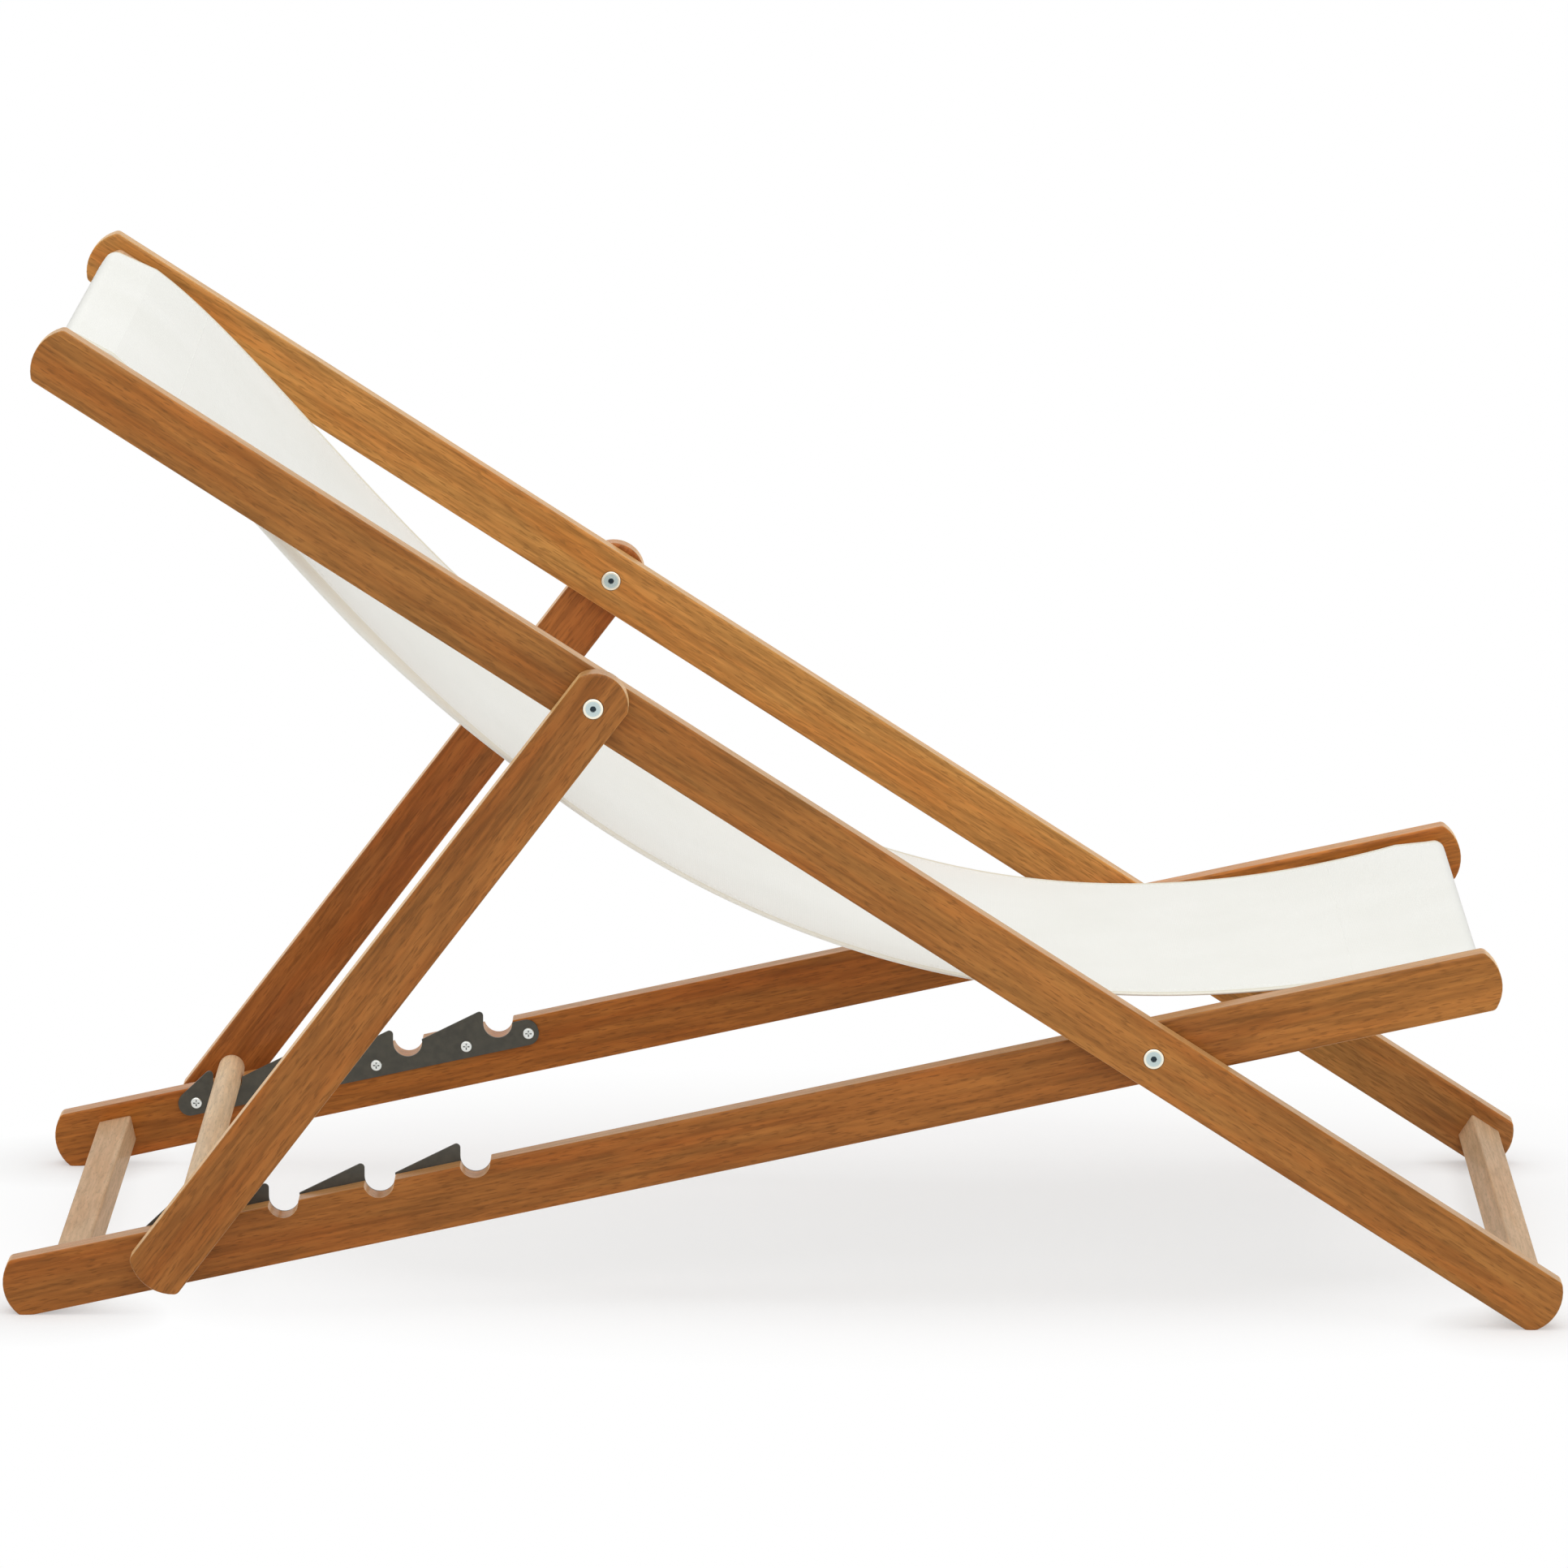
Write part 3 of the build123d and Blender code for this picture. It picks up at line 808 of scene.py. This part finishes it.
@dataclass(frozen=True)
class Sleeve:
    """Side view of a sling bar with the canvas wrapped round it."""

    centre: Vector
    tilt: float
    corner_along: float = 0.014
    corner_up: float = 0.005
    radius: float = 0.0086

    @property
    def along(self) -> Vector:
        """Direction of the bar's broad faces, towards the front of the chair."""
        return Vector((math.cos(self.tilt), math.sin(self.tilt)))

    @property
    def up(self) -> Vector:
        """Direction square to the bar's broad faces."""
        return Vector((-math.sin(self.tilt), math.cos(self.tilt)))

    def corner(self, along: int, up: int, lift: float = 0) -> Vector:
        """Centre of one rounded corner.

        Args:
            along: 1 for the front corners, -1 for the rear ones.
            up: 1 for the upper corners, -1 for the lower ones.
            lift: How far the canvas stands off the bar there.

        Returns:
            The centre in the side view.
        """
        return self.centre + self.along * self.corner_along * along + self.up * (self.corner_up * up + lift)

    def wrap(self, corner: Vector, start: float, end: float, steps: int = 6) -> list[Vector]:
        """Points of the canvas round one corner.

        Args:
            corner: Centre of the corner.
            start: Angle from the bar's own direction at which the canvas arrives, in degrees.
            end: Angle at which it leaves.
            steps: Number of stretches.

        Returns:
            The points in order.
        """
        points = []
        for step in range(steps + 1):
            angle = math.radians(start + (end - start) * step / steps) + self.tilt
            points.append(corner + Vector((math.cos(angle), math.sin(angle))) * self.radius)
        return points


@dataclass(frozen=True)
class SlingEdge:
    """How one long edge of the canvas hangs: its slopes at the bars and how long it keeps to them."""

    leave_slope: float
    leave_hold: float
    arrive_slope: float
    arrive_hold: float
    head_lift: float
    front_lift: float


@dataclass
class Sling:
    """One sheet of canvas with a sewn sleeve round each bar and a rolled, stitched hem on each side."""

    chair: Chair
    near: SlingEdge = SlingEdge(
        leave_slope=43.26, leave_hold=0.2272, arrive_slope=11.99, arrive_hold=0.5727,
        head_lift=0.002, front_lift=0.0005,
    )
    far: SlingEdge = SlingEdge(
        leave_slope=36.0, leave_hold=0.1875, arrive_slope=16.1, arrive_hold=0.563,
        head_lift=0.004, front_lift=0.0030,
    )
    thickness: float = 0.0010
    seam_distance: float = 0.050
    lap: float = 0.014
    lap_gap: float = 0.0014
    tight_radius: float = 0.0070
    lap_rows: int = 3
    return_rows: int = 6
    sleeve_turn: float = 15.0
    belly: float = 0.006
    ripple: float = 0.0009
    ripple_density: Pair = (7, 4)
    ripple_seed: float = 0.37
    run_rows: int = 150
    panel_columns: int = 40
    roll_radius: float = 0.0042
    roll_steps: int = 8
    crease_inset: float = 0.0080
    crease_depth: float = 0.0012
    crease_profile: tuple[Pair, ...] = ((1.15, 0.5), (1.0, 1.0), (0.85, 0.5), (0.65, 0.0))
    under_profile: tuple[Pair, ...] = ((0.7, 1.7), (1.0, 1.0))
    under_end_drop: float = 0.9
    hem_inset: float = 0.0120
    lap_hem_drop: float = 0.0045
    roll_knots: tuple[Pair, ...] = (
        (0, 0.21), (0.1, 1), (0.31, 0.95), (0.45, 0.32), (0.6, 0.24), (1, 0.11)
    )
    stitch_length: float = 0.0032
    stitch_pitch: float = 0.0042
    thread_radius: float = 0.00026
    second_row_inset: float = 0.0155

    def __post_init__(self) -> None:
        """Work out the sheet's width, both edges and the measure along it."""
        low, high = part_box("sling")
        self.half = (high[1] - low[1] - self.thickness) / 2
        self.head = Sleeve(self.chair.head_bar.xz, -self.chair.back_tilt)
        self.front = Sleeve(self.chair.front_bar.xz, self.chair.seat_tilt, radius=self.tight_radius)
        self.near_line = self.edge_line(self.near)
        self.far_line = self.edge_line(self.far)
        self.middle_line = [(a + b) / 2 for a, b in zip(self.near_line, self.far_line)]
        self.last_row = len(self.middle_line) - 1
        self.first_run_row = len(self.head_part(self.near, self.run(self.near)))
        self.measure = [0.0]
        for start, end in zip(self.middle_line, self.middle_line[1:]):
            self.measure.append(self.measure[-1] + (end - start).length)

    def run(self, edge: SlingEdge) -> list[Vector]:
        """Free hang of one edge from the head bar to the front bar, as one cubic curve.

        Args:
            edge: The edge's slopes and holds.

        Returns:
            Points in order from the head bar.
        """
        leave, arrive = math.radians(edge.leave_slope), math.radians(edge.arrive_slope)
        start = self.head.corner(1, 1, edge.head_lift)
        start = start + Vector((math.sin(leave), math.cos(leave))) * self.head.radius
        end = self.front.corner(-1, 1, edge.front_lift)
        end = end + Vector((-math.sin(arrive), math.cos(arrive))) * self.front.radius
        start_handle = start + Vector((math.cos(leave), -math.sin(leave))) * edge.leave_hold
        end_handle = end - Vector((math.cos(arrive), math.sin(arrive))) * edge.arrive_hold
        points = []
        for row in range(self.run_rows + 1):
            t = row / self.run_rows
            s = 1 - t
            points.append(
                start * s**3 + start_handle * (3 * s * s * t) + end_handle * (3 * s * t * t) + end * t**3
            )
        return points

    def lap_line(self, run: list[Vector]) -> list[Vector]:
        """Lap of a sleeve, sewn to the underside of the free hang.

        Args:
            run: Points of the free hang, from the sleeve's own bar.

        Returns:
            Points from the lap's raw end to the seam.
        """
        row_step = self.lap / (self.lap_rows - 1)
        wanted = [self.seam_distance + row_step * row for row in range(self.lap_rows)]
        travelled = 0.0
        points = []
        for start, end in zip(run, run[1:]):
            step = end - start
            below = Vector((step.y, -step.x)).normalized()
            below = -below if below.y > 0 else below
            while len(points) < len(wanted) and travelled + step.length >= wanted[len(points)]:
                share = (wanted[len(points)] - travelled) / step.length
                points.append(start + step * share + below * self.lap_gap)
            travelled += step.length
        return points[::-1]

    def between(self, start: Vector, end: Vector) -> list[Vector]:
        """Rows of a straight stretch beside a sleeve, without its two ends."""
        count = self.return_rows + 1
        return [start.lerp(end, step / count) for step in range(1, count)]

    def head_part(self, edge: SlingEdge, run: list[Vector]) -> list[Vector]:
        """Lap, return and sleeve at the head bar.

        Args:
            edge: The edge's slopes and holds.
            run: Its free hang.

        Returns:
            Points from the lap's raw end to where the free hang starts.
        """
        head = self.head
        leave_angle = 90 - edge.leave_slope + math.degrees(self.chair.back_tilt)
        sleeve = head.wrap(head.corner(1, -1), self.sleeve_turn - 90, -90, steps=3)
        sleeve += head.wrap(head.corner(-1, -1), -90, -180)
        sleeve += head.wrap(head.corner(-1, 1), 180, 90)
        sleeve += head.wrap(head.corner(1, 1, edge.head_lift), 90, leave_angle, steps=2)[:-1]
        lap = self.lap_line(run)
        return lap + self.between(lap[-1], sleeve[0]) + sleeve

    def front_part(self, run: list[Vector]) -> list[Vector]:
        """Sleeve, return and lap at the front bar.

        Args:
            run: The edge's free hang.

        Returns:
            Points from where the free hang ends to the lap's raw end.
        """
        front = self.front
        sleeve = front.wrap(front.corner(1, 1), 90, 0)
        sleeve = self.between(run[-1], sleeve[0]) + sleeve
        sleeve += front.wrap(front.corner(1, -1), 0, -90)
        sleeve += front.wrap(front.corner(-1, -1), -90, -90 - self.sleeve_turn, steps=3)
        lap = self.lap_line(run[::-1])[::-1]
        return sleeve + self.between(sleeve[-1], lap[0]) + lap

    def edge_line(self, edge: SlingEdge) -> list[Vector]:
        """Whole side view of one edge, as many points for either edge.

        Args:
            edge: The edge's slopes and holds.

        Returns:
            Points in order, from the head's lap to the front's.
        """
        run = self.run(edge)
        return self.head_part(edge, run) + run + self.front_part(run)

    def columns(self) -> list[Pair]:
        """Places across the sheet: under one hem, round its roll, the panel, and the other hem.

        Returns:
            Pairs of the place along Y and the drop from the panel's level, for a full roll.
        """
        panel_half = self.half - self.hem_inset
        shares = [2 * index / self.panel_columns - 1 for index in range(self.panel_columns + 1)]
        panel = [(panel_half * share, 0.0) for share in shares]
        radius, crease = self.roll_radius, self.crease_inset
        hem = [(crease * inset, self.crease_depth * depth) for inset, depth in self.crease_profile]
        for step in range(self.roll_steps + 1):
            angle = math.pi * (0.5 - step / self.roll_steps)
            hem.append((radius * (1 - math.cos(angle)), radius * (1 - math.sin(angle))))
        hem += [(crease * inset, radius * drop) for inset, drop in self.under_profile]
        hem.append((self.hem_inset, radius * self.under_end_drop))
        right = [(self.half - inset, -drop) for inset, drop in hem]
        left = [(-place, drop) for place, drop in right[::-1]]
        return left + panel + right

    def normal(self, row: int) -> Vector:
        """Direction out of the sheet's upper side, in the side view.

        Args:
            row: Row along the sheet.

        Returns:
            The direction, of length 1.
        """
        before = self.middle_line[max(row - 1, 0)]
        after = self.middle_line[min(row + 1, self.last_row)]
        step = (after - before).normalized()
        return Vector((-step.y, step.x))

    def roll_share(self, row: int) -> float:
        """How full the hem's roll is: flat round the bars, plump along the upper back.

        Args:
            row: Row along the sheet.

        Returns:
            The share of a full roll.
        """
        share = min(1.0, max(0.0, (row - self.first_run_row) / self.run_rows))
        for (start, low), (end, high) in zip(self.roll_knots, self.roll_knots[1:]):
            if share <= end:
                return low + (high - low) * (share - start) / (end - start)
        return self.roll_knots[-1][1]

    def lap_share(self, row: int) -> float:
        """How much a row belongs to a lap: 1 on the lap itself, falling to 0 along the return."""
        steps = min(row, self.last_row - row) - (self.lap_rows - 1)
        return 1 - min(1.0, max(0.0, steps / (self.return_rows + 1)))

    def hang(self, row: int, place: float) -> float:
        """How far the sheet dips or ripples at a place, against its straight-drawn form.

        Args:
            row: Row along the sheet.
            place: Place along Y.

        Returns:
            The offset along the sheet's normal.
        """
        past_panel = abs(place) - (self.half - 2 * self.hem_inset)
        under_hem = min(1.0, max(0.0, past_panel / self.hem_inset))
        tucked = self.lap_hem_drop * under_hem * self.lap_share(row)
        share = (row - self.first_run_row) / self.run_rows
        if not 0 < share < 1:
            return tucked
        free = math.sin(math.pi * share) ** 2
        dip = -self.belly * (1 - min(1.0, (place / self.half) ** 2)) * free
        across, along = self.ripple_density
        wave = noise.noise(Vector((place * across, self.measure[row] * along, self.ripple_seed)))
        return dip + wave * self.ripple * math.sqrt(free) + tucked

    def point(self, row: int, place: float, drop: float, proud: float = 0) -> Vector:
        """A place on the sheet.

        Args:
            row: Row along the sheet.
            place: Place along Y.
            drop: Place of a full roll against the panel's level.
            proud: Distance out of the sheet.

        Returns:
            The place in the chair's frame.
        """
        flat = self.near_line[row].lerp(self.far_line[row], place / (2 * self.half) + 0.5)
        offset = drop * self.roll_share(row) + proud + self.hang(row, place)
        flat = flat + self.normal(row) * offset
        return Vector((flat.x, place, flat.y))

    def build_sheet(self) -> bpy.types.Object:
        """Make the canvas.

        Returns:
            The sheet.
        """
        columns = self.columns()
        spread = [0.0]
        for start, end in zip(columns, columns[1:]):
            spread.append(spread[-1] + math.dist(start, end))
        self.flat_size = (spread[-1], self.measure[-1])
        last_column = len(columns) - 1
        sheet = bmesh.new()
        bmesh.ops.create_grid(sheet, x_segments=last_column, y_segments=self.last_row, size=0.5)
        flat = sheet.loops.layers.uv.new(CanvasFinish.uv_name)
        index = {
            vertex: (round((0.5 - vertex.co.x) * last_column), round((vertex.co.y + 0.5) * self.last_row))
            for vertex in sheet.verts
        }
        for face in sheet.faces:
            face.smooth = True
            for loop in face.loops:
                column, row = index[loop.vert]
                loop[flat].uv = (spread[column], self.measure[row])
        for vertex, (column, row) in index.items():
            vertex.co = self.point(row, *columns[column])
        roll_column = len(self.under_profile) + 1
        crease_column = roll_column + self.roll_steps + 2  # halfway down the crease's outer wall
        finish = CanvasFinish(
            colour=srgb(246, 246, 241),
            shade=srgb(238, 238, 231),
            # The hem's colours: the unshaded bottom of its roll, and the painted shade at its crease.
            hem_light=srgb(246, 245, 238),
            hem_shade=srgb(226, 221, 201),
            cut_width=spread[-1],
            hem_bottom=spread[roll_column],
            hem_crease=spread[crease_column],
        )
        piece = finish_piece("canvas_sling", sheet, finish.material("sling_canvas"))
        wall = piece.modifiers.new("cloth_thickness", "SOLIDIFY")
        wall.thickness = self.thickness
        wall.offset = 0
        return piece

    def stitch_shape(self) -> bpy.types.Mesh:
        """Shape of one stitch, a short plump length of thread.

        Returns:
            A mesh along Z about the origin.
        """
        thread = bmesh.new()
        shape = Matrix.Diagonal((self.thread_radius, self.thread_radius, self.stitch_length / 2, 1))
        bmesh.ops.create_uvsphere(thread, u_segments=6, v_segments=4, radius=1, matrix=shape)
        for face in thread.faces:
            face.smooth = True
        mesh = bpy.data.meshes.new("one_stitch")
        thread.to_mesh(mesh)
        thread.free()
        return mesh

    @staticmethod
    def sew(seam: bmesh.types.BMesh, shape: bpy.types.Mesh, start: Vector, end: Vector) -> None:
        """Add one stitch.

        Args:
            seam: Mesh that collects the stitches.
            shape: Shape of a stitch about the origin.
            start: Where the thread comes up.
            end: Where it goes down.
        """
        turn = (end - start).to_track_quat("Z", "Y").to_matrix().to_4x4()
        move = Matrix.Translation((start + end) / 2) @ turn
        shape.transform(move)
        seam.from_mesh(shape)
        shape.transform(move.inverted())

    def along(self, distance: float, place: float, drop: float = 0, proud: float = 0) -> Vector:
        """A place on the sheet, by its distance along it.

        Args:
            distance: Distance from the sheet's head end.
            place: Place along Y.
            drop: Place of a full roll against the panel's level.
            proud: Distance out of the sheet.

        Returns:
            The place in the chair's frame.
        """
        after = min(max(1, bisect_right(self.measure, distance)), self.last_row)
        before = after - 1
        share = (distance - self.measure[before]) / (self.measure[after] - self.measure[before])
        return self.point(before, place, drop, proud).lerp(self.point(after, place, drop, proud), share)

    def build_stitching(self, material: Material) -> bpy.types.Object:
        """Make the hem stitches along both edges and the seams across both sleeves.

        Args:
            material: The thread finish.

        Returns:
            All the stitches as one piece.
        """
        seam = bmesh.new()
        shape = self.stitch_shape()
        proud = self.thickness / 2
        first, last = self.lap, self.measure[-1] - self.lap
        stitches = int((last - first) / self.stitch_pitch)
        for inset, drop in ((self.crease_inset, -self.crease_depth), (self.second_row_inset, 0.0)):
            for number in range(stitches):
                start = first + number * self.stitch_pitch
                end = start + self.stitch_length
                for side in Side:
                    place = side.value * (self.half - inset)
                    ends = [self.along(distance, place, drop, proud) for distance in (start, end)]
                    self.sew(seam, shape, *ends)
        width = 2 * (self.half - self.second_row_inset)
        for distance in self.seams():
            for number in range(int(width / self.stitch_pitch)):
                start = number * self.stitch_pitch - width / 2
                ends = [
                    self.along(distance, place, proud=proud) for place in (start, start + self.stitch_length)
                ]
                self.sew(seam, shape, *ends)
        bpy.data.meshes.remove(shape)
        return finish_piece("hem_stitching", seam, material)

    def seams(self) -> Pair:
        """Places of the two stitch lines that close the sleeves, a third of the way into the laps.

        Returns:
            Their distances along the sheet, the head's first.
        """
        reach = self.seam_distance + self.lap / 3
        return (
            self.measure[self.first_run_row] + reach,
            self.measure[self.first_run_row + self.run_rows] - reach,
        )

    def build(self) -> None:
        """Make the canvas and its stitching, shaped between the two bars, and hide the imported sling."""
        sheet = self.build_sheet()
        thread = ThreadFinish(srgb(246, 246, 241), srgb(240, 240, 233)).material("sewing_thread")
        stitching = self.build_stitching(thread)
        head_seam, front_seam = self.seams()
        start = self.along(front_seam - 2 * self.lap, 0)
        end = self.along(head_seam + 2 * self.lap, 0)
        for piece in (sheet, stitching):
            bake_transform(piece)
        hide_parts("sling")
        log.info("sling cut to %.3f by %.3f m", *self.flat_size)


def finish_piece(name: str, shape: bmesh.types.BMesh, material: Material) -> bpy.types.Object:
    """Turn a finished bmesh into a piece of the scene.

    Args:
        name: Name of the piece.
        shape: Its mesh, in the chair's frame; it is freed.
        material: Its finish.

    Returns:
        The new object, at the origin.
    """
    mesh = bpy.data.meshes.new(name)
    shape.to_mesh(mesh)
    shape.free()
    mesh.materials.append(material)
    piece = bpy.data.objects.new(name, mesh)
    bpy.context.scene.collection.objects.link(piece)
    log.info("made %s with %d faces", name, len(mesh.polygons))
    return piece


@dataclass(frozen=True)
class Lamp:
    """A square soft box."""

    name: str
    place: Triple
    target: Triple
    size: float
    power: float

    def build(self) -> None:
        """Hang the lamp and point it."""
        light = bpy.data.lights.new(self.name, "AREA")
        light.shape = "SQUARE"
        light.size = self.size
        light.energy = self.power
        lamp = bpy.data.objects.new(self.name, light)
        lamp.location = self.place
        aim = Vector(self.target) - Vector(self.place)
        lamp.rotation_euler = aim.to_track_quat("-Z", "Y").to_euler()
        bpy.context.scene.collection.objects.link(lamp)


@dataclass
class Studio:
    """White floor, soft light and the camera at the photograph's angle."""

    eye: Triple = (0.03496, -7.17393, 1.68178)
    pitch: float = -10.5644
    heading: float = 0.2851
    roll: float = 0.219
    focal_pixels: float = 12188.9
    image_pixels: int = 1932
    sensor: float = 36.0
    sight: float = 100.0
    floor_radius: float = 40.0
    floor_sides: int = 96
    floor_drop: float = 0.0002
    world_light: float = 0.44
    lamps: tuple[Lamp, ...] = (
        Lamp("overhead", place=(0.0, -0.3, 4.0), target=(0.0, 0.0, 0.0), size=5.0, power=106.0),
        Lamp("front_fill", place=(0.4, -4.6, 2.0), target=(0.0, 0.0, 0.35), size=3.0, power=60.0),
    )

    def build_camera(self) -> None:
        """Place the camera."""
        lens = bpy.data.cameras.new("photo_camera")
        lens.sensor_width = self.sensor
        lens.lens = self.focal_pixels * self.sensor / self.image_pixels
        lens.clip_end = self.sight
        camera = bpy.data.objects.new("photo_camera", lens)
        turn = (
            Matrix.Rotation(math.radians(self.heading), 3, "Z")
            @ Matrix.Rotation(math.radians(90 + self.pitch), 3, "X")
            @ Matrix.Rotation(math.radians(self.roll), 3, "Z")
        )
        camera.matrix_world = Matrix.Translation(self.eye) @ turn.to_4x4()
        bpy.context.scene.collection.objects.link(camera)
        bpy.context.scene.camera = camera

    def build_floor(self) -> None:
        """Lay the white floor."""
        disc = bmesh.new()
        bmesh.ops.create_circle(disc, cap_ends=True, segments=self.floor_sides, radius=self.floor_radius)
        bmesh.ops.translate(disc, verts=disc.verts, vec=(0, 0, -self.floor_drop))
        floor = finish_piece("studio_floor", disc, FloorFinish().material("white_sweep"))

    def build_world(self) -> None:
        """Light the room evenly, and show white to the eye and in reflections."""
        world = bpy.data.worlds.new("white_room")
        world.use_nodes = True
        bpy.context.scene.world = world
        nodes, links = world.node_tree.nodes, world.node_tree.links
        nodes.clear()
        level = nodes.new("ShaderNodeMapRange")
        links.new(seen_directly(world.node_tree), level.inputs["Value"])
        level.inputs["To Min"].default_value = self.world_light
        level.inputs["To Max"].default_value = 1.0
        room = nodes.new("ShaderNodeBackground")
        room.inputs["Color"].default_value = (1, 1, 1, 1)
        links.new(level.outputs["Result"], room.inputs["Strength"])
        output = nodes.new("ShaderNodeOutputWorld")
        links.new(room.outputs["Background"], output.inputs["Surface"])

    def build(self) -> None:
        """Set up floor, light and camera."""
        bpy.context.scene.view_settings.view_transform = "Standard"
        self.build_world()
        self.build_floor()
        for lamp in self.lamps:
            lamp.build()
        self.build_camera()
        log.info("studio ready")


def main() -> None:
    """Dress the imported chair, hang its sling and set up the studio."""
    logging.basicConfig(level=logging.INFO, format="%(name)s: %(message)s")
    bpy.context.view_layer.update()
    chair = Chair()
    Boards(chair).dress()
    Bars().dress()
    Hardware(chair).dress()
    Sling(chair).build()
    Studio().build()


if __name__ == "__main__":
    main()
